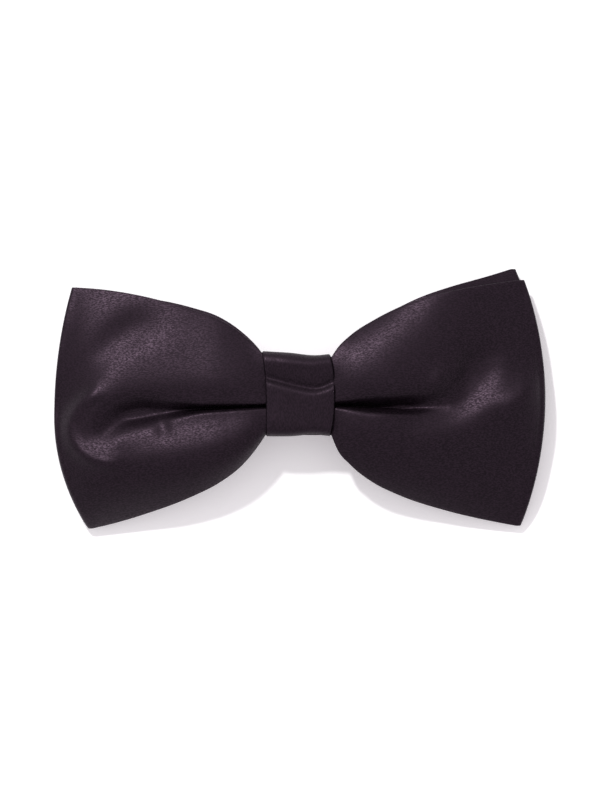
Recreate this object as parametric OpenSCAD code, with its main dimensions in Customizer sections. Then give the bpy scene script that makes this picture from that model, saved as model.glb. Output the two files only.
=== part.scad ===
// Pre-tied bow tie: two satin loops gathered in a wrapped knot, on an adjustable neck band
// that is folded flat behind the bow. Millimetres. +X runs to the right as the front is seen,
// +Y is up as worn and +Z comes out of the front. The bow lies on its back on Z = 0.

/* [Bow] */
// Width of the bow from wing end to wing end
bow_w = 120; // [100:1:145]
// Height over the wing corners, from the lowest to the highest
bow_h = 64; // [52:1:78]
// Height of the gathered bow inside the knot
waist_h = 18.4; // [15:0.1:22.2]
// How far the rear loop stands in from the front loop at the wing ends
rear_inset = 1.3; // [0.8:0.1:2]
// How far the two lobes of a wing stand up beside the centre pleat
pleat_h = 1.8; // [1:0.1:2.2]

/* [Cloth] */
// Thickness of the satin in a bow loop
satin_t = 0.3; // [0.2:0.01:0.36]
// Thickness of the interlining in a bow loop
interlining_t = 0.38; // [0.3:0.01:0.46]
// Space between neighbouring leaves at the knot
leaf_gap = 0.3; // [0.2:0.01:0.4]

/* [Knot] */
// Width of the knot wrap along the band
knot_w = 16; // [12:0.5:20]
// Thickness of the satin of the knot wrap
wrap_t = 0.4; // [0.3:0.01:0.48]
// Thickness of the interlining under the knot wrap
wrap_lining_t = 0.35; // [0.25:0.01:0.42]
// Diameter of the thread that binds the waist
thread_d = 0.3; // [0.2:0.01:0.36]

/* [Neck band] */
// Width of the band
band_w = 16; // [13:0.1:19.2]
// Thickness of the band
band_t = 0.6; // [0.5:0.01:0.72]
// Distance from the wing ends in to the outer folds
fold_inset = 11; // [9:0.5:14]
// Distance from the bow's centre to the inner folds
fold_in = 6; // [5:0.1:7.2]

/* [Hook, eye and slider] */
// Thickness of the bars that the band turns round
bar_d = 1.35; // [1.1:0.01:1.6]
// Thickness of the hook and eye plates
plate_t = 0.9; // [0.7:0.01:1.08]
// Width of the hook's tongue
tongue_w = 9; // [7:0.1:10.8]
// Length of the slider along the band
slider_l = 11; // [9:0.1:13.2]
// Distance from the bow's centre to the hook and eye bars
bar_x = 18; // [17:0.1:20]

/* [Hidden] */

$fn = 48;
LEFT = -1;
RIGHT = 1;
fit = 0.05;                 // clearance between a bar and the band round it
gap = 0.2;                  // clearance between stacked pieces
cut = 1;                    // how far a cutting shape runs past what it cuts

// Places along the band
half_w = bow_w / 2;
fold_out = half_w - fold_inset;
slider_x = fold_out - slider_l / 2 - 2.5;       // middle bar of the slider
run_x = (bar_x + slider_x - slider_l / 2) / 2;  // where the run to the hook starts to slide
stub_x = slider_x - 8;                          // sewn end of the turn round the middle bar

// Heights of the band's runs, from the surface that the tie lies on
turn_r = bar_d / 2 + fit + band_t / 2;          // middle line of a turn round a bar
z_tail = band_t / 2;                            // run that comes back from the hook to the slider
z_bar = z_tail + turn_r;
z_3 = z_bar + turn_r;                           // last panel
rim_d = 0.9;                                    // diameter of the slider's outer bars
z_rim = z_3 + band_t / 2 + fit + rim_d / 2;
z_2 = z_rim + rim_d / 2 + gap + band_t / 2;
z_1 = z_2 + 2 * band_t;
knot_wall = wrap_t + wrap_lining_t;
z_knot = z_1 + band_t / 2 + thread_d + gap;     // back of the knot
z_0 = z_knot + knot_wall + fit + band_t / 2;    // centre run, through the knot
levels = [z_0, z_1, z_2, z_3];

// Bow: four leaves, two to a loop, are stacked about a base surface
leaf_t = interlining_t + 2 * satin_t;
leaf_pitch = leaf_t + leaf_gap;
half_h = bow_h / 2;
waist_x = knot_w / 2 + 0.2;                     // the wings start to spread here
z_waist = z_0 + band_t / 2 + thread_d + gap + 1.5 * leaf_pitch + leaf_t / 2;
z_lobe = z_waist + 1.5 * leaf_pitch + leaf_t / 2;
knot_top = z_lobe + thread_d + gap + knot_wall; // front of the knot
corner_z = leaf_pitch;                          // base height at the wing corners
end_drop = 2.0;                                 // how far the wing ends sink at the middle
band_drop = 0.25;                               // how far a leaf may sink over the band's edge
arch = ln(band_drop / z_waist) / ln(band_w / (bow_h - 2));
knot_y = 0.7;                                   // the knot sits a little above the middle
lobe_y = 2.6;                                   // half width of the pleat's valley
end_close = 0.2;                                // how much closer the loops lie at the wing ends

// Grid of a leaf: columns from the waist to a wing end, and rows across the height
COLS = 8;
ROWS = 10;
FRONT_COUNT = 2 * COLS + 2;                     // columns on a loop's front leaf
AROUND = 4 * COLS + 2;                          // columns round a loop

// Wing corners as shares of half the width and half the height: upper, then lower
FRONT_RIGHT = [[0.917, 0.900], [0.905, -0.985]];
FRONT_LEFT = [[0.920, 0.838], [0.858, -1.000]];
REAR_RIGHT = [[0.884, 1.000], [0.880, -0.930]];
REAR_LEFT = [[0.890, 0.850], [0.850, -0.940]];
// Inner control points of the curve from waist to corner, as shares of that run
CURVE_A = [0.145, 0.518];
CURVE_B = [0.455, 0.825];

function clamp(v, lo, hi) = max(lo, min(hi, v));
function bezier(t, a, b, c, d) =
  pow(1 - t, 3) * a + 3 * pow(1 - t, 2) * t * b + 3 * (1 - t) * t * t * c + t * t * t * d;
function share(t, axis) = bezier(t, 0, CURVE_A[axis], CURVE_B[axis], 1);

// Height of the base surface that the leaves are stacked on
function spread(x) = clamp((abs(x) - waist_x) / (0.9 * half_w - waist_x), 0, 1);
function edge_y(x) = waist_h / 2 + (half_h - 1 - waist_h / 2) * (1 - pow(1 - spread(x), 2.2));
function base_z(x, y) =
  let (
    v = min(1, abs(y - knot_y) / edge_y(x)),
    middle = z_waist - end_drop * pow(min(1, abs(x) / half_w), 14),
    edge = z_waist - (z_waist - corner_z) * spread(x)
  )
  middle - (middle - edge) * pow(v, arch);

// A point of a loop. order: 1 for the front loop, -1 for the rear; t: 0 at the waist, 1 at the
// wing end; v: -1 to 1 across the height; face: 1 on the front leaf, -1 on the rear; depth:
// distance out from the leaf's middle
function loop_point(corners, order, end_x, side, t, v, face, depth) =
  let (
    s = share(t, 0),
    corner = v > 0 ? corners[0] : corners[1],
    x_mid = waist_x + (end_x - waist_x) * s,
    x_edge = waist_x + (corner[0] * half_w - waist_x) * s,
    x = side * (x_mid + (x_edge - x_mid) * v * v + depth * pow(s, 6)),
    y_edge = waist_h / 2 + (abs(corner[1]) * half_h - waist_h / 2) * share(t, 1),
    y = knot_y * (1 - s) + v * y_edge,
    rise = sin(180 * pow(s, 0.7)),
    puff = (order > 0 ? 0.35 : 0.15) * rise * (1 - v * v),
    lobe = order > 0 && face > 0 ? pleat_h * rise * (1 - exp(-pow((y - knot_y) / lobe_y, 2))) : 0,
    middle = order * (leaf_pitch + puff) * (1 - end_close * pow(s, 6)),
    open = (leaf_pitch / 2 + puff + depth) * sqrt(1 - pow(s, 8))
  )
  [x, y, base_z(x, y) + middle + face * open + lobe * (1 - pow(v, 4)) * (1 - pow(s, 4))];

// Column i of a loop goes left to right along the front leaf and back along the rear leaf
function ring_point(shape, i, v, depth) =
  let (
    front = i < FRONT_COUNT,
    m = front ? i : i - FRONT_COUNT,
    side = front == (m < (front ? COLS + 1 : COLS)) ? LEFT : RIGHT,
    k = front ? (m <= COLS ? COLS - m : m - COLS - 1) : (m < COLS ? COLS - 1 - m : m - COLS),
    t = sin(90 * k / COLS)
  )
  loop_point(side < 0 ? shape[0] : shape[1], shape[2], shape[3], side, t, v, front ? 1 : -1, depth);

// Rows lie closer together near the pleat
function row_v(j) = let (w = 2 * j / ROWS - 1) sign(w) * pow(abs(w), 1.25);

function grid(shape, depth) =
  [for (i = [0 : AROUND - 1]) for (j = [0 : ROWS]) ring_point(shape, i, row_v(j), depth)];

// One closed sheet between two depths of a loop
module loop_sheet(shape, d_in, d_out) {
  n = ROWS + 1;
  half = AROUND * n;
  points = concat(grid(shape, d_out), grid(shape, d_in));
  skin = [for (i = [0 : AROUND - 1]) for (j = [0 : ROWS - 1])
    let (a = i * n + j, b = ((i + 1) % AROUND) * n + j)
    each [[a, a + 1, b + 1], [a, b + 1, b],
          [half + a, half + b + 1, half + a + 1], [half + a, half + b, half + b + 1]]];
  rims = [for (i = [0 : AROUND - 1])
    let (a = i * n, b = ((i + 1) % AROUND) * n, c = a + ROWS, d = b + ROWS)
    each [[a, b, half + b], [a, half + b, half + a],
          [c, half + d, d], [c, half + c, half + d]]];
  polyhedron(points, concat(skin, rims));
}

FRONT = [FRONT_LEFT, FRONT_RIGHT, 1, half_w - leaf_t / 2];
REAR = [REAR_LEFT, REAR_RIGHT, -1, half_w - leaf_t / 2 - rear_inset];
layer_gap = 0.01;

module outer_satin(shape) color("#2b232a")
  loop_sheet(shape, interlining_t / 2 + layer_gap, leaf_t / 2);
module interlining(shape) color("#e8e4da")
  loop_sheet(shape, -interlining_t / 2, interlining_t / 2);
module inner_facing(shape) color("#2b232a")
  loop_sheet(shape, -leaf_t / 2, -interlining_t / 2 - layer_gap);

// Rounded rectangle round the waist, in Y and Z, drawn out along X
module waist_block(width, y_half, z_lo, z_hi, r) {
  translate([-width / 2, knot_y, 0]) rotate([90, 0, 90]) linear_extrude(width)
    union() {
      translate([-y_half, z_lo + r]) square([2 * y_half, z_hi - z_lo - 2 * r]);
      translate([-y_half + r, z_lo]) square([2 * (y_half - r), z_hi - z_lo]);
      for (y = [-y_half + r, y_half - r], z = [z_lo + r, z_hi - r]) translate([y, z]) circle(r);
    }
}

module waist_ring(width, inner, wall, z_lo, z_hi, r) {
  difference() {
    waist_block(width, inner + wall, z_lo - wall, z_hi + wall, r + wall);
    waist_block(width + 2 * cut, inner, z_lo, z_hi, r);
  }
}

knot_r = 0.6;                                  // rounding inside the knot's edges
bind_in = waist_h / 2 + 0.1;                   // half height inside the binding thread
knot_in = max(bind_in + thread_d + 0.1, band_w / 2 + knot_r + fit);

module waist_binding_thread() color("#1b171b") {
  turns = 5;
  for (i = [0 : turns - 1]) translate([(i - (turns - 1) / 2) * 2.4 * thread_d, 0, 0])
    waist_ring(thread_d, bind_in, thread_d, z_0 + band_t / 2 + thread_d + gap / 2,
               z_lobe + gap / 2, gap);
}

module knot_interlining() color("#e8e4da")
  waist_ring(knot_w - 1, knot_in, wrap_lining_t, z_knot + knot_wall,
             knot_top - knot_wall, knot_r);

module knot_wrap() color("#2b232a")
  waist_ring(knot_w, knot_in + wrap_lining_t + layer_gap, wrap_t - layer_gap,
             z_knot + wrap_t, knot_top - wrap_t, knot_r + wrap_lining_t);

module knot_closing_stitches() color("#1b171b") {
  count = 7;
  pitch = 1.8;
  for (i = [0 : count - 1])
    translate([(i - (count - 1) / 2) * pitch, knot_y, z_knot - thread_d / 2])
      rotate([90, 0, i % 2 == 0 ? 25 : -25])
        cylinder(h = 2, d = thread_d, center = true, $fn = 16);
}

// Neck band: its middle line runs through the middle of the knot
module at_band(x, z) translate([x, knot_y, z]) children();

module band_run(x_a, x_b, z)
  at_band((x_a + x_b) / 2, z) cube([abs(x_b - x_a), band_w, band_t], center = true);

// Half turn of the band about an axis along Y, bulging towards side
module band_turn(x, z, r, side) {
  size = r + band_t;
  at_band(x, z) rotate([90, 0, 0]) difference() {
    cylinder(h = band_w, r = r + band_t / 2, center = true);
    cylinder(h = band_w + 2 * cut, r = r - band_t / 2, center = true);
    translate([side > 0 ? -size : 0, -size, -band_w]) cube([size, 2 * size, 2 * band_w]);
  }
}

// Fold number n joins panel n - 1 to panel n: 1 and 3 are at the outside, 2 is at the inside
module band_fold(side, n) color("#2b232a") {
  outside = n % 2 == 1;
  band_turn(side * (outside ? fold_out : fold_in), (levels[n - 1] + levels[n]) / 2,
            (levels[n - 1] - levels[n]) / 2, outside ? side : -side);
}

module band_panel(side, n) color("#2b232a") band_run(side * fold_in, side * fold_out, levels[n]);

module band_center() color("#2b232a") band_run(-fold_out, fold_out, z_0);

// A run that changes height between two places
module band_slope(x_a, z_a, x_b, z_b) {
  half_t = [0, band_t / 2];
  at_band(0, 0) rotate([90, 0, 0]) linear_extrude(band_w, center = true)
    polygon([[x_a, z_a] - half_t, [x_b, z_b] - half_t, [x_b, z_b] + half_t, [x_a, z_a] + half_t]);
}

// The left end goes round the eye's bar and is sewn back against itself
sewn_l = 16;
sewn_z = z_3 - band_t - fit;
module band_left_panel_3() color("#2b232a") {
  band_run(-bar_x, -fold_out, z_3);
  band_turn(-bar_x, z_bar, turn_r, RIGHT);
  band_slope(-bar_x, z_tail, -bar_x - 5, sewn_z);
  band_run(-bar_x - 5, -bar_x - sewn_l, sewn_z);
}

// The right end slides: it goes round the hook's bar and comes back to the slider
module band_right_panel_3() color("#2b232a") band_run(run_x, fold_out, z_3);
module band_right_hook_run() color("#2b232a") band_run(bar_x, run_x, z_3);
module band_right_hook_turn() color("#2b232a") band_turn(bar_x, z_bar, turn_r, LEFT);
module band_right_tail() color("#2b232a") band_run(bar_x, stub_x, z_tail);

// The very end goes round the slider's middle bar and is sewn down
mid_bar = [2, 0.7];
mid_bar_z = z_3 - 1.5 * band_t - 2 * fit - mid_bar[1] / 2;
module band_right_slider_turn() color("#2b232a") {
  inside = [mid_bar[0] + 2 * fit, mid_bar[1] + 2 * fit];
  outside = inside + 2 * [band_t, band_t];
  band_run(stub_x, slider_x - inside[0] / 2, z_tail);
  at_band(slider_x, mid_bar_z) rotate([90, 0, 0]) linear_extrude(band_w, center = true)
    difference() {
      square(outside, center = true);
      square(inside, center = true);
    }
}

module stitch_row(x, z, count) {
  pitch = (band_w - 3) / count;
  for (i = [0 : count - 1])
    at_band(x, z) translate([0, (i - (count - 1) / 2) * pitch, 0])
      rotate([0, 90, i % 2 == 0 ? 30 : -30]) cylinder(h = 1.4, d = thread_d, center = true, $fn = 16);
}
on_band = (band_t + thread_d) / 2;
module eye_bartack() color("#1b171b") stitch_row(-bar_x - sewn_l + 2, z_3 + on_band, 12);
module tail_bartack() color("#1b171b") stitch_row(stub_x + 2, z_tail + on_band, 12);

// A woven label with nothing on it, sewn to the wearer's side of the first left panel
label = [20, 11, 0.25];
module blank_label() color("#4a424a")
  at_band(-(fold_in + fold_out) / 2, z_1 + (band_t + label[2]) / 2) cube(label, center = true);

// Hardware. side_w: width of the arms beside the band
side_w = 1.2;
side_y = band_w / 2 + 0.15;
arm_out = side_y + side_w;
reach = 3.5;                // from the bar to the cross plate

// Bar, arms and cross plate that the hook and the eye share, pointing towards the bow's centre
module strap_frame(side) {
  plate_l = 3.2;
  at_band(side * bar_x, z_bar) {
    rotate([90, 0, 0]) cylinder(h = 2 * arm_out, d = bar_d, center = true);
    for (s = [-1, 1]) translate([-side * reach / 2, s * (side_y + side_w / 2), 0])
      cube([reach, side_w, plate_t], center = true);
    translate([-side * (reach + plate_l / 2), 0, 0]) cube([plate_l, 2 * arm_out, plate_t], center = true);
  }
}

bend_r = plate_t;           // middle line of the hook's bend
tongue_end = 5.2;           // from the bow's centre to the start of the bend
module hook() color("#b9bbc0") {
  strap_frame(RIGHT);
  tongue_l = bar_x - reach - 1 - tongue_end;
  return_l = 5;
  at_band(tongue_end + tongue_l / 2, z_bar) cube([tongue_l, tongue_w, plate_t], center = true);
  at_band(tongue_end + return_l / 2, z_bar + 2 * bend_r)
    cube([return_l, tongue_w, plate_t], center = true);
  at_band(tongue_end, z_bar + bend_r) rotate([90, 0, 0]) difference() {
    cylinder(h = tongue_w, r = bend_r + plate_t / 2, center = true);
    cylinder(h = tongue_w + 2 * cut, r = bend_r - plate_t / 2, center = true);
    translate([0, -2 * plate_t, -tongue_w]) cube([2 * plate_t, 4 * plate_t, 2 * tongue_w]);
  }
}

module eye() color("#b9bbc0") {
  slot = [3.4, tongue_w + 1.6];
  rim = 1.6;
  strap_frame(LEFT);
  front = bar_x - reach - 3.2;
  at_band(-front, z_bar) difference() {
    translate([0, -slot[1] / 2 - rim, -plate_t / 2])
      cube([slot[0] + rim, slot[1] + 2 * rim, plate_t]);
    translate([-cut, -slot[1] / 2, -plate_t]) cube([slot[0] + cut, slot[1], 2 * plate_t]);
  }
}

module size_slider() color("#b9bbc0") {
  rail_z = [mid_bar_z - mid_bar[1] / 2, z_rim + rim_d / 2];
  bar_in = slider_l / 2 - rim_d / 2;
  rail = rail_z[1] - rail_z[0];
  for (s = [-1, 1]) at_band(slider_x, rail_z[0]) translate([0, s * (side_y + side_w / 2), 0]) {
    translate([-bar_in, -side_w / 2, rim_d / 2]) cube([2 * bar_in, side_w, rail - rim_d / 2]);
    translate([rim_d / 2 - bar_in, -side_w / 2, 0]) cube([2 * bar_in - rim_d, side_w, rail]);
  }
  for (s = [-1, 1]) at_band(slider_x + s * bar_in, z_rim) rotate([90, 0, 0])
    cylinder(h = 2 * arm_out, d = rim_d, center = true);
  at_band(slider_x, mid_bar_z) cube([mid_bar[0], 2 * arm_out, mid_bar[1]], center = true);
}

outer_satin(FRONT);  // front_bow_satin
interlining(FRONT);  // front_bow_interlining
inner_facing(FRONT);  // front_bow_facing
outer_satin(REAR);  // rear_bow_satin
interlining(REAR);  // rear_bow_interlining
inner_facing(REAR);  // rear_bow_facing
waist_binding_thread();
knot_wrap();
knot_interlining();
knot_closing_stitches();
band_center();
band_fold(LEFT, 1);  // band_left_fold_1
band_panel(LEFT, 1);  // band_left_panel_1
band_fold(LEFT, 2);  // band_left_fold_2
band_panel(LEFT, 2);  // band_left_panel_2
band_fold(LEFT, 3);  // band_left_fold_3
band_left_panel_3();
band_fold(RIGHT, 1);  // band_right_fold_1
band_panel(RIGHT, 1);  // band_right_panel_1
band_fold(RIGHT, 2);  // band_right_fold_2
band_panel(RIGHT, 2);  // band_right_panel_2
band_fold(RIGHT, 3);  // band_right_fold_3
band_right_panel_3();
band_right_hook_run();
band_right_hook_turn();
band_right_tail();
band_right_slider_turn();
blank_label();
eye();
eye_bartack();
hook();
size_slider();
tail_bartack();
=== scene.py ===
"""Looks of the pre-tied satin bow tie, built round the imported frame.

Lengths are in millimetres until a mesh is made. X runs to the right as the front is seen, Y is
up as worn and Z comes out of the front. Wings are described by the distance from the middle of
the knot.
"""
import math

import bmesh
import bpy
import numpy as np
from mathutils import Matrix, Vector


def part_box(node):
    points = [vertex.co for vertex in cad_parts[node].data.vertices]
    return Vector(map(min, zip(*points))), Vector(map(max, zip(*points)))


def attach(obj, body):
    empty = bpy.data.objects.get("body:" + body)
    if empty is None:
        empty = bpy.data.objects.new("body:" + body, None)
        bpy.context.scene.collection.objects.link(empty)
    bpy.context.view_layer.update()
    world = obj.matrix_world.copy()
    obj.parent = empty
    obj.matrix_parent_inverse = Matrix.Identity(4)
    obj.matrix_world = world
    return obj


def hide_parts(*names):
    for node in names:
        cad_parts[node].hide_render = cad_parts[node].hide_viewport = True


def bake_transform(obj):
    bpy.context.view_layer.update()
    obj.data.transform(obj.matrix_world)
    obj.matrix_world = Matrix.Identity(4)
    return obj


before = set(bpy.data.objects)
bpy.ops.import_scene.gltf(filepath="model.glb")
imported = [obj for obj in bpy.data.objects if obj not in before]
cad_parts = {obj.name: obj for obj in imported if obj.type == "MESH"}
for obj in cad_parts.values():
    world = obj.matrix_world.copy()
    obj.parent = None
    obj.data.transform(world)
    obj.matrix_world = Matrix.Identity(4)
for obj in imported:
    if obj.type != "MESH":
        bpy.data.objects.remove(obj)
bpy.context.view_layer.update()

MM = 0.001


def node_box(node):
    """Lowest and highest corner of a CAD node, in millimetres."""
    low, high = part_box(node)
    return np.array(low) / MM, np.array(high) / MM


# Places and sizes that the frame gives
WRAP_LOW, WRAP_HIGH = node_box("knot_wrap")
RUN_LOW, RUN_HIGH = node_box("band_center")
KNOT_Y = (RUN_LOW[1] + RUN_HIGH[1]) / 2
BAND_W = RUN_HIGH[1] - RUN_LOW[1]
BAND_T = RUN_HIGH[2] - RUN_LOW[2]
FOLD_OUT = RUN_HIGH[0]
FOLD_IN = -node_box("band_left_panel_1")[1][0]
# Middle heights of the band's runs, from the one through the knot to the lowest panel
LEVELS = [node_box(n)[0][2] + BAND_T / 2 for n in
          ("band_center", "band_left_panel_1", "band_left_panel_2", "band_right_panel_3")]
BAR_X = node_box("band_right_hook_turn")[1][0]
STUB_X = node_box("band_right_tail")[1][0]
RING_HIGH = node_box("band_right_slider_turn")[1]
LEFT, RIGHT = -1, 1

# ---------------------------------------------------------------- camera

VIEW_HEIGHT = 195.1  # what the picture shows from top to bottom, at the bow's mid height
VIEW_MIDDLE = (0.37, KNOT_Y - 0.98, 7.0)
VIEW_DISTANCE = 900.0
SENSOR = 36.0
NEAREST, FARTHEST = 0.01, 10    # what the camera sees, in metres


def make_camera():
    data = bpy.data.cameras.new("camera")
    data.sensor_width = SENSOR
    data.lens = SENSOR * VIEW_DISTANCE / VIEW_HEIGHT
    data.clip_start = NEAREST
    data.clip_end = FARTHEST
    camera = bpy.data.objects.new("camera", data)
    x, y, z = VIEW_MIDDLE
    camera.location = (x * MM, y * MM, (z + VIEW_DISTANCE) * MM)
    bpy.context.collection.objects.link(camera)
    bpy.context.scene.camera = camera


make_camera()

# ---------------------------------------------------------------- materials


class Nodes:
    """A material's node tree, with short calls for what the materials here need."""

    def __init__(self, name):
        self.material = bpy.data.materials.new(name)
        self.material.use_nodes = True
        self.tree = self.material.node_tree
        self.shader = self.tree.nodes["Principled BSDF"]
        self.place = self.tree.nodes.new("ShaderNodeTexCoord").outputs["Object"]

    def link(self, source, target):
        self.tree.links.new(source, target)

    def noise(self, size_mm, detail=2.0, rough=0.5):
        """Noise whose features are about size_mm long in X, Y and Z."""
        mapping = self.tree.nodes.new("ShaderNodeMapping")
        mapping.inputs["Scale"].default_value = [1 / (s * MM) for s in size_mm]
        self.link(self.place, mapping.inputs["Vector"])
        noise = self.tree.nodes.new("ShaderNodeTexNoise")
        noise.inputs["Scale"].default_value = 1.0
        noise.inputs["Detail"].default_value = detail
        noise.inputs["Roughness"].default_value = rough
        self.link(mapping.outputs["Vector"], noise.inputs["Vector"])
        return noise.outputs["Fac"]

    def spread(self, value, low, high, start=0.3, end=0.7):
        """value, from start to end, made to run from low to high."""
        node = self.tree.nodes.new("ShaderNodeMapRange")
        node.inputs["From Min"].default_value = start
        node.inputs["From Max"].default_value = end
        node.inputs["To Min"].default_value = low
        node.inputs["To Max"].default_value = high
        self.link(value, node.inputs["Value"])
        return node.outputs["Result"]

    def add(self, a, b):
        node = self.tree.nodes.new("ShaderNodeMath")
        node.operation = "ADD"
        self.link(a, node.inputs[0])
        self.link(b, node.inputs[1])
        return node.outputs["Value"]

    def colour(self, value, dark, light):
        node = self.tree.nodes.new("ShaderNodeMix")
        node.data_type = "RGBA"
        node.inputs["A"].default_value = (*dark, 1)
        node.inputs["B"].default_value = (*light, 1)
        self.link(value, node.inputs["Factor"])
        self.link(node.outputs["Result"], self.shader.inputs["Base Color"])

    def roughness(self, value):
        self.link(value, self.shader.inputs["Roughness"])

    def bump(self, value, height_mm):
        node = self.tree.nodes.new("ShaderNodeBump")
        node.inputs["Distance"].default_value = height_mm * MM
        node.inputs["Strength"].default_value = 1.0
        self.link(value, node.inputs["Height"])
        self.link(node.outputs["Normal"], self.shader.inputs["Normal"])

    def set(self, **values):
        for name, value in values.items():
            self.shader.inputs[name.replace("_", " ")].default_value = value
        return self.material


FLOAT_SIZE = (0.6, 0.23, 0.23)         # of the satin's shiny floats, in X, Y and Z
WRAP_FLOAT_SIZE = (0.17, 0.55, 0.55)   # on the knot, where the cloth is turned by 90 degrees
FLOAT_RELIEF = 0.03
SATIN_PATCH = 7                        # size of the wider uneven patches
SATIN_GLOSS, SATIN_TINT = 0.225, (1.0, 0.70, 0.95, 1)


def satin(name, dark, light, float_size=FLOAT_SIZE):
    """Satin: short shiny floats that sparkle, with a faint unevenness over wider patches. The
    floats' light and dark speckle in the base colour is partly their own uneven tone and partly
    painted sparkle.
    """
    nodes = Nodes(name)
    floats = nodes.noise(float_size, detail=2, rough=0.6)
    cloud = nodes.noise((SATIN_PATCH, SATIN_PATCH, SATIN_PATCH), detail=3)
    # Partly painted sparkle: the floats' lighter speckle in the base colour stands in for their
    # glints, beside their own uneven tone
    nodes.colour(nodes.spread(floats, 0, 1, 0.44, 0.58), dark, light)
    nodes.roughness(nodes.add(nodes.spread(floats, 0.56, 0.36, 0.4, 0.6),
                              nodes.spread(cloud, -0.02, 0.02)))
    nodes.bump(floats, FLOAT_RELIEF)
    return nodes.set(Specular_IOR_Level=SATIN_GLOSS, Specular_Tint=SATIN_TINT)


def plain_weave(name, dark, light, pitch, height, rough=0.9):
    """A matt woven cloth with a visible thread in both directions."""
    nodes = Nodes(name)
    warp = nodes.noise((pitch * 6, pitch, pitch), detail=1)
    weft = nodes.noise((pitch, pitch * 6, pitch), detail=1)
    mixed = nodes.add(warp, weft)
    nodes.colour(nodes.spread(mixed, 0, 1, 0.7, 1.3), dark, light)
    nodes.roughness(nodes.spread(warp, rough - 0.08, rough))
    nodes.bump(mixed, height)
    return nodes.set(Specular_IOR_Level=0.25)


def yarn(name, dark, light):
    """Twisted sewing thread."""
    nodes = Nodes(name)
    ply = nodes.noise((0.12, 0.3, 0.12), detail=2)
    nodes.colour(nodes.spread(ply, 0, 1), dark, light)
    nodes.roughness(nodes.spread(ply, 0.45, 0.7))
    nodes.bump(ply, 0.04)
    return nodes.set(Sheen_Weight=0.1)


def nickel(name):
    """Bright nickel plate with fine handling marks and duller patches."""
    nodes = Nodes(name)
    marks = nodes.noise((1.5, 0.06, 0.2), detail=2)
    patches = nodes.noise((2.5, 2.5, 2.5), detail=3)
    nodes.colour(nodes.spread(patches, 0, 1), (0.56, 0.55, 0.53), (0.63, 0.62, 0.60))
    nodes.roughness(nodes.add(nodes.spread(marks, 0.14, 0.24), nodes.spread(patches, 0.0, 0.08)))
    nodes.bump(marks, 0.004)
    return nodes.set(Metallic=1.0)


def paper_floor(name):
    """Pale paper. It glows faintly, so that the picture is as bright as the photo round the bow."""
    nodes = Nodes(name)
    fleck = nodes.noise((40, 40, 40), detail=2)
    nodes.colour(nodes.spread(fleck, 0, 1), (0.93, 0.93, 0.935), (0.95, 0.95, 0.95))
    return nodes.set(Roughness=0.9, Specular_IOR_Level=0.1,
                     Emission_Color=(1.0, 0.9, 0.97, 1), Emission_Strength=0.22)


# Satin base colours; the lighter one is partly painted sparkle, the floats' glints put into the
# colour
DARK = (0.0006, 0.0003, 0.0006)
LIGHT = (0.0105, 0.0063, 0.0100)
SATIN = satin("bow_satin", DARK, LIGHT)
WRAP_SATIN = satin("wrap_satin", DARK, LIGHT, WRAP_FLOAT_SIZE)
RIBBON = satin("ribbon_satin", DARK, LIGHT)
LINING = plain_weave("interlining", (0.62, 0.60, 0.54), (0.80, 0.78, 0.72),
                     pitch=0.35, height=0.08)
LABEL = plain_weave("label_weave", (0.045, 0.038, 0.046), (0.10, 0.088, 0.10),
                    pitch=0.2, height=0.04, rough=0.75)
THREAD = yarn("sewing_thread", (0.008, 0.005, 0.008), (0.03, 0.02, 0.028))
NICKEL = nickel("nickel_plate")

# ---------------------------------------------------------------- meshes


def make_mesh(name, points, faces, material):
    """A smooth-shaded object from points in millimetres."""
    mesh = bpy.data.meshes.new(name)
    mesh.from_pydata([tuple(p) for p in np.asarray(points, float) * MM], [], faces)
    mesh.materials.append(material)
    mesh.polygons.foreach_set("use_smooth", [True] * len(mesh.polygons))
    obj = bpy.data.objects.new(name, mesh)
    bpy.context.collection.objects.link(obj)
    tidy = bmesh.new()
    tidy.from_mesh(mesh)
    bmesh.ops.recalc_face_normals(tidy, faces=tidy.faces)
    tidy.to_mesh(mesh)
    tidy.free()
    return obj


def shell(name, outer, inner, material, ring=True):
    """A closed sheet between two grids of points. With ring, the first index closes on itself."""
    rows, cols = outer.shape[:2]
    count = rows * cols
    last = rows if ring else rows - 1
    faces = []
    for i in range(last):
        k = (i + 1) % rows
        for j in range(cols - 1):
            a, b, c, d = i * cols + j, i * cols + j + 1, k * cols + j + 1, k * cols + j
            faces.append((a, b, c, d))
            faces.append((count + d, count + c, count + b, count + a))
        for j in (0, cols - 1):
            a, b = i * cols + j, k * cols + j
            faces.append((a, b, count + b, count + a))
    if not ring:
        for i in (0, rows - 1):
            for j in range(cols - 1):
                a = i * cols + j
                faces.append((a, a + 1, count + a + 1, count + a))
    points = np.concatenate([outer.reshape(-1, 3), inner.reshape(-1, 3)])
    return make_mesh(name, points, faces, material)


def unit(v):
    return v / np.maximum(np.linalg.norm(v, axis=-1, keepdims=True), 1e-9)


def curve(points):
    """A smooth function through (x, value) points, level beyond both ends."""
    xs, ys = np.array(points, float).T
    slopes = np.gradient(ys, xs)

    def at(x):
        x = np.clip(x, xs[0], xs[-1])
        i = np.clip(np.searchsorted(xs, x, side="right") - 1, 0, len(xs) - 2)
        h = xs[i + 1] - xs[i]
        t = (x - xs[i]) / h
        return ((2 * t**3 - 3 * t**2 + 1) * ys[i] + (t**3 - 2 * t**2 + t) * h * slopes[i]
                + (3 * t**2 - 2 * t**3) * ys[i + 1] + (t**3 - t**2) * h * slopes[i + 1])

    return at


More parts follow.
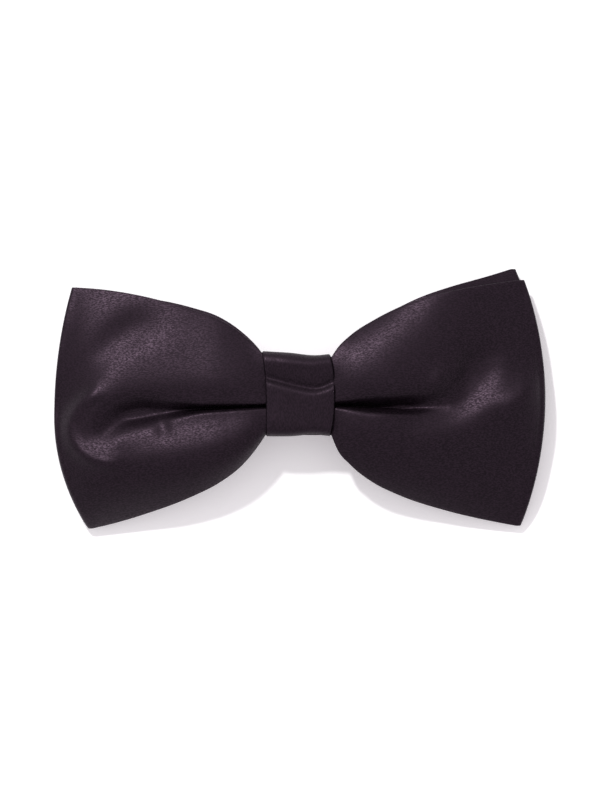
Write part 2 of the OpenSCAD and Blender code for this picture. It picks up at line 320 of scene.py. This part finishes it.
def crease(x, y, path, height, width):
    """Height that a soft fold along path adds at x, y. It is down to a third at width from it."""
    path = np.array(path, float)
    reach = np.linalg.norm(np.diff(path, axis=0), axis=1).sum()
    count = max(6, int(3 * reach / width))
    edges = np.linspace(0, len(path) - 1, count + 1)
    line = np.stack([curve(list(enumerate(path[:, k])))(edges) for k in (0, 1)], 1)
    total = np.zeros(np.shape(x))
    for (ax, ay), (bx, by) in zip(line[:-1], line[1:]):
        far = (x - (ax + bx) / 2) ** 2 + (y - (ay + by) / 2) ** 2
        total = total + math.hypot(bx - ax, by - ay) * np.exp(-far / width**2)
    return height * total / (width * math.sqrt(math.pi))


# ---------------------------------------------------------------- bow: outline and heights


class Wing:
    """One wing of a loop, by distance x from the knot's middle: its edges, middle line and end."""

    def __init__(self, top, bottom, middle, end_x):
        self.top, self.bottom, self.middle = curve(top), curve(bottom), curve(middle)
        self.corner_top, self.corner_bottom = top[-1][0], bottom[-1][0]
        self.end_x = end_x


KNOT_EDGE = 8.0    # where the wings leave the knot
END_ROLL = 0.9     # how far the rounded wing end stands out past the leaves
MIDDLE_RIGHT = [(8, -2.3), (27, -2.8), (45, -1.2), (60, -0.5)]
MIDDLE_LEFT = [(8, -2.5), (25, -3.2), (45, -4.6), (60, -5.0)]
FRONT = {
    RIGHT: Wing([(8, 9.3), (9.6, 11.6), (12.6, 14.5), (18.4, 18.3), (24.3, 21.3), (36, 25.0),
                 (47, 27.1), (55, 28.3)],
                [(8, -9.3), (9.6, -13.0), (12.6, -16.5), (18.4, -21.0), (24.3, -23.9),
                 (36, -27.8), (47, -30.4), (54.3, -31.8)],
                MIDDLE_RIGHT, 60.0),
    LEFT: Wing([(8, 9.3), (10.9, 12.3), (13.8, 14.9), (19.6, 18.5), (25.5, 20.6), (37, 23.9),
                (48, 25.8), (55.2, 26.4)],
               [(8, -9.3), (10.9, -13.4), (13.8, -16.7), (19.6, -21.1), (25.5, -24.1),
                (37, -28.5), (46, -31.2), (51.4, -32.5)],
               MIDDLE_LEFT, 59.4),
}
REAR = {
    RIGHT: Wing([(8, 9.2), (12.6, 13.8), (18.4, 17.8), (24.3, 21.3), (30, 24.0), (36, 26.1),
                 (47, 29.3), (53, 31.2)],
                [(8, -9.1), (12.6, -15.6), (18.4, -20.0), (24.3, -22.9), (36, -26.8),
                 (47, -29.3), (52.6, -30.5)],
                MIDDLE_RIGHT, 58.6),
    LEFT: Wing([(8, 9.2), (10.9, 12.7), (13.8, 15.4), (19.6, 19.2), (25.5, 21.2), (31, 22.6),
                (42, 24.1), (53, 24.9)],
               [(8, -9.1), (13.8, -15.8), (19.6, -20.1), (25.5, -23.1), (37, -27.5),
                (46, -30.1), (50.4, -31.3)],
               MIDDLE_LEFT, 58.0),
}

# Heights by distance from the knot's middle. Leaf 3 is the front one: leaves 3 and 2 are the front
# loop, 1 and 0 the rear loop.
LEAF_T = 0.42        # thickness of satin, interlining and facing together
LEAF_GAP = 0.04      # least space between two leaves
LEAF_STEP = 0.5      # from leaf to leaf at the edges
REAR_DROP = {        # how far the rear loop's top edge hangs below the front loop's
    RIGHT: curve([(16, 0), (30, 2.0), (50, 2.6), (55, 2.0)]),
    LEFT: curve([(10, 0), (22, 0.6), (36, 0.3), (55, 0)]),
}
CREST = {            # middle line of leaf 3
    RIGHT: curve([(8, 12.6), (12, 14.0), (18, 14.7), (28, 14.1), (36, 12.8), (44, 11.1), (52, 8.9),
                  (56, 7.8), (58.5, 6.5), (60, 5.2)]),
    LEFT: curve([(8, 12.6), (12, 14.0), (18, 14.7), (28, 14.1), (40, 13.0), (50, 12.2), (57, 9.1),
                 (60, 7.4)]),
}
EDGES_ABOVE = {      # top edge of leaf 3
    RIGHT: curve([(8, 11.9), (12, 10.8), (20, 10.0), (27, 10.5), (33, 10.9), (40, 10.2),
                  (50, 7.2), (55, 5.2)]),
    LEFT: curve([(8, 11.9), (12, 10.9), (20, 10.2), (30, 9.4), (40, 8.2), (50, 6.5), (55, 5.4)]),
}
EDGES_BELOW = {      # bottom edge of leaf 3
    RIGHT: curve([(8, 11.9), (12, 10.8), (20, 8.6), (30, 5.9), (40, 4.2), (50, 2.8), (55, 2.2)]),
    LEFT: curve([(8, 11.9), (12, 11.0), (20, 9.6), (30, 7.4), (40, 4.6), (50, 2.7), (55, 2.2)]),
}
MIDDLES = {          # middle lines of the other leaves
    2: curve([(8, 11.0), (20, 11.6), (40, 10.6), (50, 9.5), (58, 6.6)]),
    1: curve([(8, 9.8), (20, 10.1), (40, 9.8), (50, 9.0), (58, 5.9)]),
    0: curve([(8, 8.6), (40, 8.3), (50, 8.1), (53, 7.6), (58, 5.2)]),
}
# How full each dome is between middle line and edge: 1 is a straight slope
FRONT_POWER = {RIGHT: (3.0, 2.8), LEFT: (1.5, 3.4)}    # above and below the middle line
POWERS = {2: 2.6, 1: 2.9, 0: 3.1}

# The slot between the lobes, by distance from the knot
SLOT_DEPTH = {
    RIGHT: curve([(6.5, 3), (8.4, 4.0), (16, 5.6), (22, 5.4), (26, 3.8), (31, 1.4), (37, 0)]),
    LEFT: curve([(6.5, 3), (8.4, 4.0), (16, 5.0), (24, 3.8), (34, 1.7), (44, 1.0), (50, 0)]),
}
SLOT_HALF = {        # half width above the middle line
    RIGHT: curve([(8, 0.4), (12, 0.75), (18, 1.4), (23, 1.8), (28, 2.2), (36, 3)]),
    LEFT: curve([(8, 0.28), (16, 0.4), (24, 0.7), (34, 2.0), (44, 3.0), (50, 3.2)]),
}
SLOT_BELOW = {RIGHT: 0.5, LEFT: 0.9}     # half width below the line, as a share of that above it
SLOT_SHARP, SLOT_ROUND = 1.3, 2.0        # power of the slot's section at the knot and far from it
SLOT_ROUND_FROM, SLOT_ROUND_OVER = 17, 8
SLOT_RISE_FROM, SLOT_RISE = 24, 0.2      # from here the slot may go deeper, this much a millimetre
# The broader valley round the slot
VALLEY = {
    RIGHT: curve([(8, 0), (12, 0.7), (22, 0.9), (34, 0.6), (44, 0)]),
    LEFT: curve([(8, 0), (12, 0.8), (25, 1.3), (38, 1.1), (48, 0)]),
}
VALLEY_W = 4.5                                        # width above the middle line
VALLEY_BELOW = {RIGHT: (0.4, 5.0), LEFT: (1.3, 8.0)}  # below it: share of the depth, and width
VALLEY_BLEND = 1.5                                    # where one passes into the other

# Soft folds of the front leaf: path from the knot's middle, height and width
CREASES = {
    LEFT: [
        ([(34, -3.4), (41, -4.6), (46, -7.4), (48.8, -10.0)], -1.9, 2.9),
        ([(49, 1.2), (53, -2.0), (55.6, -7.2), (54.6, -11.6), (50.6, -15.2), (43, -16.6)],
         1.0, 1.9),
        ([(33.2, -5.5), (32.5, -9.5)], -0.6, 1.7),
        ([(60, -6), (53.5, 3.5), (48.4, 9.9), (43, 14.8), (36, 18.5)], -1.15, 4.6),
        ([(62, -8), (62.5, 5), (60, 17)], -1.0, 4.0),
        ([(4, -7), (20, -14), (33, -17), (50, -19)], 1.2, 7.0),
    ],
    RIGHT: [
        ([(25, -4.2), (31, -3.8), (37, -2.4), (42, 1.0), (44.5, 6), (45, 12)], -2.0, 4.4),
        ([(38.6, 2.0), (41.2, 6.6), (41.6, 10)], -1.1, 2.2),
        ([(46, -4), (54, -2.5), (63, -3)], 2.8, 8.5),
        ([(50, -3), (54.5, 0), (57.5, 3.5)], 1.1, 3.2),
        ([(32.4, 0.8), (35.0, 6.0)], 0.7, 1.9),
        ([(14, -12), (30, -17), (42, -21)], -0.4, 5.0),
    ],
}
CREASE_FADE = 8       # power by which the folds fade out at the edges
LOWEST_DIP = 9.15     # no dip of the front leaf goes lower over the folded band
BAND_END = 50.2       # beyond this the leaves may sink past the band
DIP_FALL_BESIDE, DIP_FALL_BEYOND = 0.3, 0.4    # how fast that limit falls off the band's edges
DIP_SOFT = 0.3        # how softly a dip comes to rest on that limit


def edge_height(side, x, v):
    """Height of the front leaf's edge on the side of v."""
    return np.where(v > 0, EDGES_ABOVE[side](x), EDGES_BELOW[side](x))


def front_height(side, x, y, v, folded=True):
    """Height of leaf 3. v is -1, 0 and 1 at the bottom edge, the middle line and the top edge."""
    edge = edge_height(side, x, v)
    z = edge + (CREST[side](x) - edge) * (1 - np.abs(v) ** np.where(v > 0, *FRONT_POWER[side]))
    if not folded:
        return z
    away = y - FRONT[side].middle(x)
    share, low_w = VALLEY_BELOW[side]
    above = 0.5 + 0.5 * np.tanh(away / VALLEY_BLEND)
    width = low_w + (VALLEY_W - low_w) * above
    z = z - VALLEY[side](x) * (share + (1 - share) * above) * np.exp(-(away / width) ** 2)
    half = SLOT_HALF[side](x) * np.where(away < 0, SLOT_BELOW[side], 1)
    room = z - LOWEST_DIP + np.maximum(0, x - SLOT_RISE_FROM) * SLOT_RISE
    power = SLOT_SHARP + (SLOT_ROUND - SLOT_SHARP) * np.clip(
        (x - SLOT_ROUND_FROM) / SLOT_ROUND_OVER, 0, 1)
    z = z - np.minimum(SLOT_DEPTH[side](x), room) * np.exp(-(np.abs(away) / half) ** power)
    fade = 1 - np.abs(v) ** CREASE_FADE
    for path, height, width in CREASES[side]:
        z = z + fade * crease(x, y, path, height, width)
    low = (LOWEST_DIP - DIP_FALL_BESIDE * np.maximum(0, np.abs(y) - BAND_W / 2) ** 2
           - DIP_FALL_BEYOND * np.maximum(0, x - BAND_END) ** 2)
    return low + ((z - low) + np.sqrt((z - low) ** 2 + DIP_SOFT**2)) / 2


def leaf_heights(side, x, y, v, folded):
    """Heights of the four leaves, each kept clear of the one in front of it."""
    z = {3: front_height(side, x, y, v, folded)}
    for leaf in (2, 1, 0):
        drop = (3 - leaf) * LEAF_STEP + (leaf < 2) * (v > 0) * REAR_DROP[side](x)
        edge = edge_height(side, x, v) - drop
        own = edge + (MIDDLES[leaf](x) - edge) * (1 - np.abs(v) ** POWERS[leaf])
        z[leaf] = np.minimum(own, z[leaf + 1] - LEAF_T - LEAF_GAP)
    return z


INSIDE_KNOT = np.array([0.02, 0.45, 0.85]) * KNOT_EDGE    # the leaves' points inside the knot
COLUMN_SPREAD, ROW_SPREAD = 1.15, 1.5    # powers that draw points to the knot and the middle line


def leaf_grid(loop, side, leaf, columns, rows, folded=True):
    """Middle points of a leaf of one wing, from the knot's middle out."""
    wing = loop[side]
    share = np.linspace(0, 1, columns) ** COLUMN_SPREAD
    w = np.linspace(-1, 1, rows)
    v = np.sign(w) * np.abs(w) ** ROW_SPREAD
    corner = np.where(v > 0, wing.corner_top, wing.corner_bottom)
    end = wing.end_x - (wing.end_x - corner) * v**2 - END_ROLL
    x = KNOT_EDGE + share[:, None] * (end - KNOT_EDGE)[None, :]
    x = np.concatenate([np.repeat(INSIDE_KNOT[:, None], rows, 1), x])
    v = np.repeat(v[None, :], len(x), 0)
    middle = wing.middle(x)
    y = middle + np.where(v > 0, wing.top(x) - middle, middle - wing.bottom(x)) * v
    z = leaf_heights(side, x, y, v, folded)[leaf]
    return np.stack([side * x, y + KNOT_Y, z], 2)


def loop_ring(loop, upper, lower, columns, back_columns, rows, folded=True, roll_steps=5):
    """Middle points of a loop: along its upper leaf to the right and back along its lower one."""
    def grid(side, leaf):
        return leaf_grid(loop, side, leaf, columns if leaf == upper else back_columns, rows, folded)

    def wing_end(side):
        """The half turn from the upper to the lower leaf."""
        top, low = grid(side, upper)[-1], grid(side, lower)[-1]
        turns = [math.pi * (k + 1) / (roll_steps + 1) for k in range(roll_steps)]
        out = np.array([side * END_ROLL, 0, 0])
        return np.stack([(top + low) / 2 + (top - low) / 2 * math.cos(a) + out * math.sin(a)
                         for a in turns])

    return np.concatenate([grid(LEFT, upper)[::-1], grid(RIGHT, upper), wing_end(RIGHT),
                           grid(RIGHT, lower)[::-1], grid(LEFT, lower), wing_end(LEFT)[::-1]])


def ring_normals(points):
    along = np.roll(points, -1, 0) - np.roll(points, 1, 0)
    across = np.gradient(points, axis=1)
    return unit(np.cross(along, across)), unit(across)


CLOTH_T = 0.12                       # thickness of the satin and of the facing
LINING_HALF = 0.07                   # half the thickness of the interlining
EDGE_TURN = (150, 120, 90, 60, 30)   # angles of the satin's points round a leaf's edge


def bow_loop(name, loop, upper, lower, columns, back_columns, rows):
    """The satin, interlining and facing of one loop."""
    size = (upper, lower, columns, back_columns, rows)
    ring = loop_ring(loop, *size)
    # The normals are those of the loop without its folds, which are sharper than the cloth is thick
    normal, across = ring_normals(loop_ring(loop, *size, folded=False))
    half = LEAF_T / 2

    def turned(radius):
        """Satin face at this distance, with its edges turned round the leaf's edges."""
        def edge(column, sign, a):
            out = math.cos(a) * normal[:, column] + sign * math.sin(a) * across[:, column]
            return ring[:, column] + radius * out

        first, last = slice(None, 1), slice(-1, None)
        turn = np.radians(EDGE_TURN)
        return np.concatenate([edge(first, -1, a) for a in turn] + [ring + radius * normal]
                              + [edge(last, 1, a) for a in turn[::-1]], 1)

    skin = shell(name + "_satin_cloth", turned(half), turned(half - CLOTH_T), SATIN)
    keep = slice(2, -2)    # the interlining stops short of the edges
    inner = shell(name + "_interlining_cloth", (ring + LINING_HALF * normal)[:, keep],
                  (ring - LINING_HALF * normal)[:, keep], LINING)
    facing = shell(name + "_facing_cloth", ring - (half - CLOTH_T) * normal, ring - half * normal,
                   SATIN)
    return skin, inner, facing


# What a loop's layers were cut to, in metres. The cut is narrower at the waist.
SATIN_CUT, INTERLINING_CUT = 0.066, 0.058

for name, loop, leaves, detail in (("front_bow", FRONT, (3, 2), (84, 30, 97)),
                                   ("rear_bow", REAR, (1, 0), (34, 30, 49))):
    layers = (("satin", "bow_satin", SATIN_CUT), ("interlining", "interlining", INTERLINING_CUT),
              ("facing", "bow_satin", SATIN_CUT))
    for piece, (part, slot, width) in zip(bow_loop(name, loop, *leaves, *detail), layers):
        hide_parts(name + "_" + part)
        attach(piece, "bow")

# ---------------------------------------------------------------- knot

# The knot's outline: its sides by height, and its top and bottom by distance along X
KNOT_LEFT = curve([(-10, -7.6), (-5, -7.6), (0, -7.6), (5, -7.9), (10, -8.6)])
KNOT_RIGHT = curve([(-10, 7.5), (-6, 8.2), (0, 8.5), (6, 8.2), (10, 7.4)])
KNOT_TOP = curve([(-8.6, 10.9), (-2, 10.5), (4, 9.9), (8.5, 10.3)])
KNOT_BOTTOM = curve([(-8.6, -9.8), (-2, -9.8), (4, -9.4), (8.5, -9.9)])
KNOT_HALF = 10.0          # half the knot's height before it is fitted to that outline
KNOT_ROUND_FRONT, KNOT_ROUND_BACK = 2.6, 1.2
WRAP_T, WRAP_LINING_T = 0.5, 0.25
WRAP_LINING_DEPTH = 0.56    # of the interlining's face under the wrap's
LINING_SHORT = 0.05         # how much narrower the interlining is, as a share
WRAP_ROLL = 0.3             # how far the turned-in side edges stand out
SIDE_DROP = 0.25            # how far the wrap sinks towards its side edges
WRAP_CREASES = [
    ([(-8.5, 5.6), (-4, 4.5), (0, 3.4), (4.4, 2.9), (8.6, 4.5)], -0.40, 1.6),
    ([(-9, 4.9), (-4, 3.5), (0, 2.5), (4.6, 1.9), (9, 3.7)], -0.80, 0.9),
    ([(-4, 8.2), (0.5, 7.6), (5, 7.0)], 0.2, 1.3),
    ([(-7, -5.5), (-2, -6.2)], 0.12, 1.6),
]


def rounded_box(half_y, half_z, radius_front, radius_back, count):
    """Closed outline in Y and Z, with even spacing, that starts at the middle of the front."""
    outline = []
    corners = ((1, 1, radius_front, 90, 0), (1, -1, radius_back, 0, -90),
               (-1, -1, radius_back, -90, -180), (-1, 1, radius_front, 180, 90))
    for sy, sz, radius, start, stop in corners:
        for a in np.radians(np.linspace(start, stop, 12)):
            outline.append((sy * (half_y - radius) + radius * math.cos(a),
                            sz * (half_z - radius) + radius * math.sin(a)))
    outline = np.array([(0, half_z)] + outline + [(0, half_z)])
    steps = np.concatenate([[0], np.cumsum(np.linalg.norm(np.diff(outline, axis=0), axis=1))])
    at = np.linspace(0, steps[-1], count, endpoint=False)
    return np.stack([np.interp(at, steps, outline[:, k]) for k in (0, 1)], 1)


def knot_tube(name, inset, thickness, material, around, across, roll):
    """A strip round the waist, inset from the knot's outside. roll turns its side edges in."""
    half_z = (WRAP_HIGH[2] - WRAP_LOW[2]) / 2
    mid_z = (WRAP_HIGH[2] + WRAP_LOW[2]) / 2
    outline = rounded_box(KNOT_HALF, half_z, KNOT_ROUND_FRONT, KNOT_ROUND_BACK, around)
    tangent = np.roll(outline, -1, 0) - np.roll(outline, 1, 0)
    out = unit(np.stack([-tangent[:, 1], tangent[:, 0]], 1))
    out *= np.sign((out * outline).sum(1, keepdims=True))
    side = np.sin(np.linspace(-1, 1, across) * math.pi / 2)[None, :]
    wide = 1 - (inset > 0) * LINING_SHORT

    def grid(depth):
        """Strip at this depth below the outside face."""
        yz = outline - out * depth
        y0 = yz[:, :1]
        left, right = KNOT_LEFT(y0), KNOT_RIGHT(y0)
        x = (left + right) / 2 + (right - left) / 2 * side * wide
        y = np.where(y0 > 0, y0 * KNOT_TOP(x) / KNOT_HALF, y0 * -KNOT_BOTTOM(x) / KNOT_HALF)
        front = np.clip(yz[:, 1:] / half_z * 3 - 1, 0, 1)
        z = mid_z + yz[:, 1:] - SIDE_DROP * np.abs(side) ** 4 * np.sign(yz[:, 1:])
        for path, height, width in WRAP_CREASES:
            z = z + front * crease(x, y, path, height, width)
        return np.stack([x, y + KNOT_Y, z], 2)

    outer, inner = grid(inset), grid(inset + thickness)
    if roll:
        outward = unit(outer - inner)
        bulges = [(outer[:, edge] + inner[:, edge]) / 2 + np.array([sign * roll, 0, 0])
                  - outward[:, edge] * 0.1 for edge, sign in ((0, LEFT), (-1, RIGHT))]
        outer = np.concatenate([bulges[0][:, None], outer, bulges[1][:, None]], 1)
        inner = np.concatenate([inner[:, :1], inner, inner[:, -1:]], 1)
    return shell(name, outer, inner, material)


wrap = knot_tube("knot_wrap_cloth", 0, WRAP_T, WRAP_SATIN, 190, 45, WRAP_ROLL)
wrap_lining = knot_tube("knot_interlining_cloth", WRAP_LINING_DEPTH, WRAP_LINING_T, LINING,
                        90, 15, 0)
for piece, node, slot, flat in ((wrap, "knot_wrap", "bow_satin", (0.0162, 0.054)),
                                (wrap_lining, "knot_interlining", "interlining", (0.015, 0.051))):
    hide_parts(node)
    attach(piece, "bow")

# ---------------------------------------------------------------- neck band


def straight(x_a, x_b, z_a, z_b=None, step=1.5):
    """Points in X and Z of a run from x_a to x_b, about a step apart."""
    count = max(2, int(abs(x_b - x_a) / step) + 1)
    z_b = z_a if z_b is None else z_b
    return list(zip(np.linspace(x_a, x_b, count), np.linspace(z_a, z_b, count)))


def turn(x, z_top, z_low, side, steps=14):
    """Points of a half turn at x from one height to another, bulging towards side."""
    radius, middle = (z_top - z_low) / 2, (z_top + z_low) / 2
    return [(x + side * radius * math.cos(a), middle + radius * math.sin(a))
            for a in np.radians(np.linspace(90, -90, steps))]


def joined(*runs):
    """One path from several, without double points."""
    path = []
    for run in runs:
        path += [p for p in run if not path or math.dist(p, path[-1]) > 1e-4]
    return path


RIDGE_IN = 1.1       # from the band's edge to the pressed line along it
RIDGE_W, RIDGE_SHARE = 0.35, 0.22    # that line's width, and its depth as a share of half a band
SKIN = 0.02          # how much thinner the ribbon is than the band's CAD solids


def ribbon_section(width, thick, count=15):
    """Outline across the ribbon: round edges, with a pressed line just inside each."""
    ys = np.linspace(-1, 1, count) * (width / 2 - thick / 2)
    line = np.exp(-((np.abs(ys) - (width / 2 - RIDGE_IN)) / RIDGE_W) ** 2)
    top = thick / 2 * (1 - RIDGE_SHARE * line)
    edge = [(width / 2 - thick / 2 + thick / 2 * math.cos(a), thick / 2 * math.sin(a))
            for a in np.radians([60, 30, 0, -30, -60])]
    upper = list(zip(ys, top))
    lower = [(y, -t) for y, t in zip(ys, top)][::-1]
    return upper + edge + lower + [(-y, z) for y, z in edge[::-1]]


def ribbon(name, path, node_names):
    """A ribbon along a path in X and Z, closed at both ends, that stands for these nodes."""
    path = np.array(path, float)
    tangent = unit(np.gradient(path, axis=0))
    normal = np.stack([-tangent[:, 1], tangent[:, 0]], 1)
    section = np.array(ribbon_section(BAND_W, BAND_T - SKIN))
    points = []
    for (x, z), (nx, nz) in zip(path, normal):
        points += [(x + nx * h, KNOT_Y + y, z + nz * h) for y, h in section]
    size, count = len(section), len(path)
    faces = [tuple(row * size + column % size
                   for row, column in ((i, j), (i, j + 1), (i + 1, j + 1), (i + 1, j)))
             for i in range(count - 1) for j in range(size)]
    faces += [tuple(range(size)), tuple(range((count - 1) * size, count * size))]
    obj = make_mesh(name, points, faces, RIBBON)
    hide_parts(*node_names)
    return obj


SPLIT = (FOLD_OUT + FOLD_IN) / 2    # the band's pieces meet at the middle of each panel
LAST_SPLIT = FOLD_OUT - 2           # but close to the fold on the lowest panel
centre = ribbon("ribbon_center", straight(-SPLIT, SPLIT, LEVELS[0]), ["band_center"])
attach(centre, "bow")

for side, word in ((LEFT, "left"), (RIGHT, "right")):
    for n in (1, 2, 3):
        fold_x, bulge = (FOLD_OUT, side) if n % 2 else (FOLD_IN, -side)
        last = SPLIT if n < 3 else LAST_SPLIT
        path = joined(straight(side * SPLIT, side * fold_x, LEVELS[n - 1]),
                      turn(side * fold_x, LEVELS[n - 1], LEVELS[n], bulge),
                      straight(side * fold_x, side * last, LEVELS[n]))
        nodes = [f"band_{word}_fold_{n}"] + ([f"band_{word}_panel_{n - 1}"] if n > 1 else [])
        piece = ribbon(f"ribbon_{word}_{n}", path, nodes)
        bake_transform(piece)

TOUCH = 0.03                        # space left between layers that are sewn together
SEWN_Z = LEVELS[3] - BAND_T - TOUCH
TAIL_Z = BAND_T / 2
SEWN_FROM, SEWN_TO = 5, 16          # the sewn end behind the eye, from its bar
left_end = ribbon("ribbon_left_eye_end", joined(
    straight(-LAST_SPLIT, -BAR_X, LEVELS[3]),
    turn(-BAR_X, LEVELS[3], TAIL_Z, RIGHT),
    straight(-BAR_X - 0.4, -BAR_X - SEWN_FROM, TAIL_Z + 0.02, SEWN_Z),
    straight(-BAR_X - SEWN_FROM - 1, -BAR_X - SEWN_TO, SEWN_Z)), ["band_left_panel_3"])
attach(left_end, "left_panel_3")

right_run = ribbon("ribbon_right_run", joined(
    straight(LAST_SPLIT, BAR_X, LEVELS[3]), turn(BAR_X, LEVELS[3], TAIL_Z, LEFT, 20)),
    ["band_right_panel_3", "band_right_hook_run", "band_right_hook_turn"])
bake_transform(right_run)
tail = ribbon("ribbon_right_tail", straight(BAR_X, STUB_X, TAIL_Z), ["band_right_tail"])
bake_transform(tail)

SLIDER_X = STUB_X + 8               # the slider's middle bar, which the band turns round
RING_TOP = RING_HIGH[2] - BAND_T / 2
HALF_RING = RING_HIGH[0] - BAND_T / 2 - SLIDER_X
TURN_X = SLIDER_X + HALF_RING - 0.5
SEWN_X = SLIDER_X - HALF_RING       # from here the end comes down on to the band
slider_end = ribbon("ribbon_right_slider_turn", joined(
    straight(STUB_X, TURN_X, TAIL_Z, step=0.8),
    turn(TURN_X, RING_TOP, TAIL_Z, RIGHT)[::-1],
    straight(TURN_X, SEWN_X + 0.4, RING_TOP, step=0.5),
    [(SEWN_X - 0.2, RING_TOP - 0.15), (SEWN_X - 0.9, TAIL_Z + BAND_T + 0.1)],
    straight(SEWN_X - 1.6, STUB_X + 1.2, TAIL_Z + BAND_T + TOUCH)),
    ["band_right_slider_turn"])
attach(slider_end, "slider")

# ---------------------------------------------------------------- label, stitches and metal


UP = np.array([0, 0, 1])
SLANT = 0.45          # how far a zigzag stitch leans, against its length
STITCH_R = 0.13


def zigzag(k):
    return SLANT if k % 2 else -SLANT


def stitches(name, places, direction_of, length, height, node, body):
    """Short arched stitches, each centred on a place and lying along its direction."""
    points, faces = [], []
    sides, steps = 8, 7
    for k, place in enumerate(places):
        direction = unit(np.array(direction_of(k), float))
        across = np.cross(direction, UP)
        first = len(points)
        for i in range(steps):
            t = i / (steps - 1)
            middle = np.array(place) + direction * length * (t - 0.5)
            middle = middle + height * (1 - (2 * t - 1) ** 4) * UP
            taper = STITCH_R * (0.55 + 0.45 * (1 - (2 * t - 1) ** 6))
            for j in range(sides):
                a = 2 * math.pi * j / sides
                points.append(middle + taper * (across * math.cos(a) + UP * math.sin(a)))
        for i in range(steps - 1):
            for j in range(sides):
                a, b = first + i * sides + j, first + i * sides + (j + 1) % sides
                faces.append((a, b, b + sides, a + sides))
        faces.append(tuple(range(first, first + sides)))
        faces.append(tuple(range(first + (steps - 1) * sides, first + steps * sides)))
    obj = make_mesh(name, points, faces, THREAD)
    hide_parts(node)
    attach(obj, body)


def bartack(name, node, body, z):
    """A zigzag row across the band."""
    low, high = node_box(node)
    places = [((low[0] + high[0]) / 2, y, z) for y in np.linspace(low[1] + 0.3, high[1] - 0.3, 15)]
    stitches(name, places, lambda k: (1, zigzag(k), 0), 1.5, 0.1, node, body)


bartack("eye_bartack_thread", "eye_bartack", "left_panel_3", LEVELS[3] + BAND_T / 2)
bartack("tail_bartack_thread", "tail_bartack", "slider", TAIL_Z + 1.5 * BAND_T - 0.02)
low, high = node_box("knot_closing_stitches")
xs = np.linspace(low[0] + 0.5, high[0] - 0.5, 9)
stitches("knot_closing_thread", [(x, KNOT_Y, WRAP_LOW[2] - 0.02) for x in xs],
         lambda k: (zigzag(k), 1, 0), 2.2, -0.1, "knot_closing_stitches", "bow")


LABEL_T = 0.2
HEM_T, HEM_L, HEM_STEP = 0.12, 1.6, 0.5    # the folded ends of the label, and the step off them


def make_label():
    """A small blank woven label with its ends folded under."""
    low, high = node_box("blank_label")
    x, y = np.meshgrid(np.linspace(low[0], high[0], 41), np.linspace(low[1], high[1], 21),
                       indexing="ij")
    end = np.minimum(x - low[0], high[0] - x)
    z = (low[2] + LABEL_T + HEM_T * np.clip(1 - (end - HEM_L) / HEM_STEP, 0, 1)
         + 0.03 * np.sin(y * 1.3) * np.sin(x * 0.4))
    top = np.stack([x, y, z], 2)
    bottom = np.stack([x, y, np.full_like(z, low[2] + 0.01)], 2)
    obj = shell("label_cloth", top, bottom, LABEL, ring=False)
    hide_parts("blank_label")
    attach(obj, "left_panel_1")


make_label()


def soften(node, width):
    """Gives a CAD metal piece rounded edges and the nickel finish."""
    obj = bpy.data.objects[node]
    obj.data.materials.clear()
    obj.data.materials.append(NICKEL)
    bevel = obj.modifiers.new("edges", "BEVEL")
    bevel.width = width * MM
    bevel.segments = 3
    bevel.limit_method = "ANGLE"
    bevel.angle_limit = math.radians(40)


for node, width in (("eye", 0.22), ("hook", 0.22), ("size_slider", 0.18)):
    soften(node, width)


BINDING_TURNS, BINDING_HALF, BINDING_R = 5, 8.35, 0.14


def make_binding():
    """The thread wound round the gathered waist, hidden under the knot."""
    low, high = node_box("waist_binding_thread")
    outline = rounded_box(BINDING_HALF, (high[2] - low[2]) / 2 - 0.4, 2.0, 1.0, 60)
    sides = 8
    points, faces = [], []
    for x in np.linspace(low[0] + 0.5, high[0] - 0.5, BINDING_TURNS):
        first = len(points)
        for y, z in outline:
            out = np.array([0, y, z]) / math.hypot(y, z)
            for a in np.linspace(0, 2 * math.pi, sides, endpoint=False):
                points.append(np.array([x, y + KNOT_Y, z + (low[2] + high[2]) / 2])
                              + BINDING_R * (math.cos(a) * out + math.sin(a) * np.array([1, 0, 0])))
        for i in range(len(outline)):
            for j in range(sides):
                a, b = i * sides + j, i * sides + (j + 1) % sides
                k = sides * ((i + 1) % len(outline)) - i * sides
                faces.append((first + a, first + b, first + b + k, first + a + k))
    obj = make_mesh("waist_thread", points, faces, THREAD)
    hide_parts("waist_binding_thread")
    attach(obj, "bow")


make_binding()

# ---------------------------------------------------------------- floor and light


FLOOR_HALF = 1500        # half the floor's side
FLOOR_GAP = 0.02         # between the floor and the tie
WORLD_COLOR, WORLD_STRENGTH = (1.0, 0.98, 1.0, 1), 0.75
# The lamp, in metres and watts, and the direction that it stands in
LAMP_SIZE, LAMP_POWER, LAMP_DISTANCE = 0.09, 8.8, 1.2
LAMP_TOWARD = Vector((-0.289, 0.572, 0.766)).normalized()


def make_stage():
    corners = np.array([(-1, -1, 0), (1, -1, 0), (1, 1, 0), (-1, 1, 0)]) * FLOOR_HALF
    floor = make_mesh("floor", corners - FLOOR_GAP * UP, [(0, 1, 2, 3)], paper_floor("paper"))
    scene = bpy.context.scene
    scene.view_settings.view_transform = "Standard"
    world = bpy.data.worlds.new("studio")
    world.use_nodes = True
    sky = world.node_tree.nodes["Background"].inputs
    sky["Color"].default_value = WORLD_COLOR
    sky["Strength"].default_value = WORLD_STRENGTH
    scene.world = world
    key = bpy.data.lights.new("key", "AREA")
    key.shape = "DISK"
    key.size = LAMP_SIZE
    key.energy = LAMP_POWER
    lamp = bpy.data.objects.new("key", key)
    lamp.location = LAMP_TOWARD * LAMP_DISTANCE
    lamp.rotation_euler = LAMP_TOWARD.to_track_quat("Z", "Y").to_euler()
    bpy.context.collection.objects.link(lamp)


make_stage()
